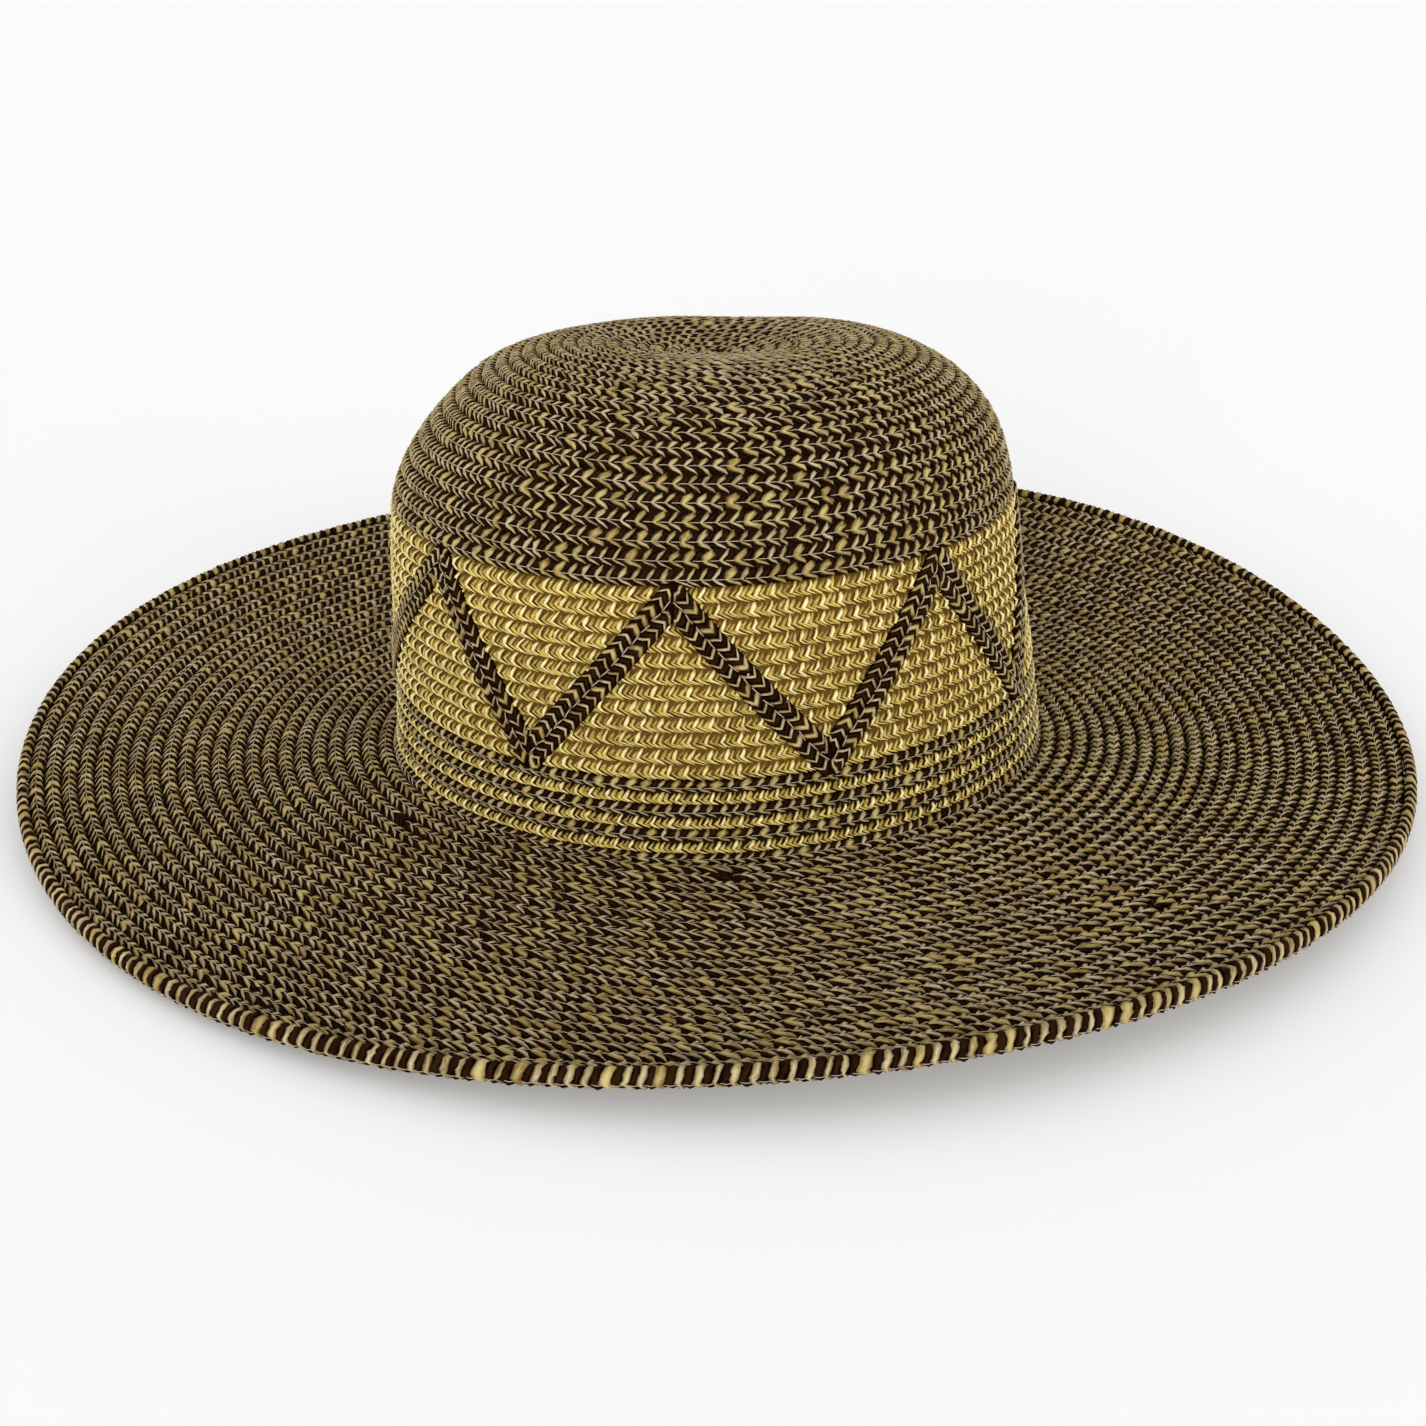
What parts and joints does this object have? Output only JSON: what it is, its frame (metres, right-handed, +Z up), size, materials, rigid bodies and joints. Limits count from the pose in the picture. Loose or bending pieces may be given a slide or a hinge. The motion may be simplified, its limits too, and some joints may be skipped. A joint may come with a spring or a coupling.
{
  "type": "wide-brimmed straw sun hat",
  "caption": "Wide-brimmed sun hat of sewn braid with a rounded crown, plain side band, zigzag tape, striped foot and rolled rim.",
  "frame": {"origin": "on the floor under the middle of the brim's outline, where the hat rests", "axes": "+Z up out of the crown's tip, +X along the longer way of the oval brim and crown, -Y towards the side that the picture shows"},
  "size_m": [0.433, 0.424, 0.1328],
  "materials": {
    "two_tone_braid": "matte woven paper-straw braid in black-brown and tan",
    "natural_braid": "satin woven straw braid in golden yellow with cream strands",
    "stripe_braid": "matte woven braid in black-brown with tan strands",
    "edge_braid": "matte braid row rolled over the rim in black-brown and tan",
    "tape_braid": "matte sewn braid tape in black-brown with tan strands"
  },
  "bodies": {
    "root": {"crown_top": "two_tone_braid", "crown_band": "natural_braid", "dark_stripe_1": "stripe_braid", "natural_stripe_2": "natural_braid", "dark_stripe_3": "stripe_braid", "natural_stripe_4": "natural_braid", "dark_stripe_5": "stripe_braid", "natural_stripe_6": "natural_braid", "dark_stripe_7": "stripe_braid", "brim": "two_tone_braid", "brim_edge": "edge_braid", "zigzag_tape": "tape_braid"}
  },
  "joints": []
}
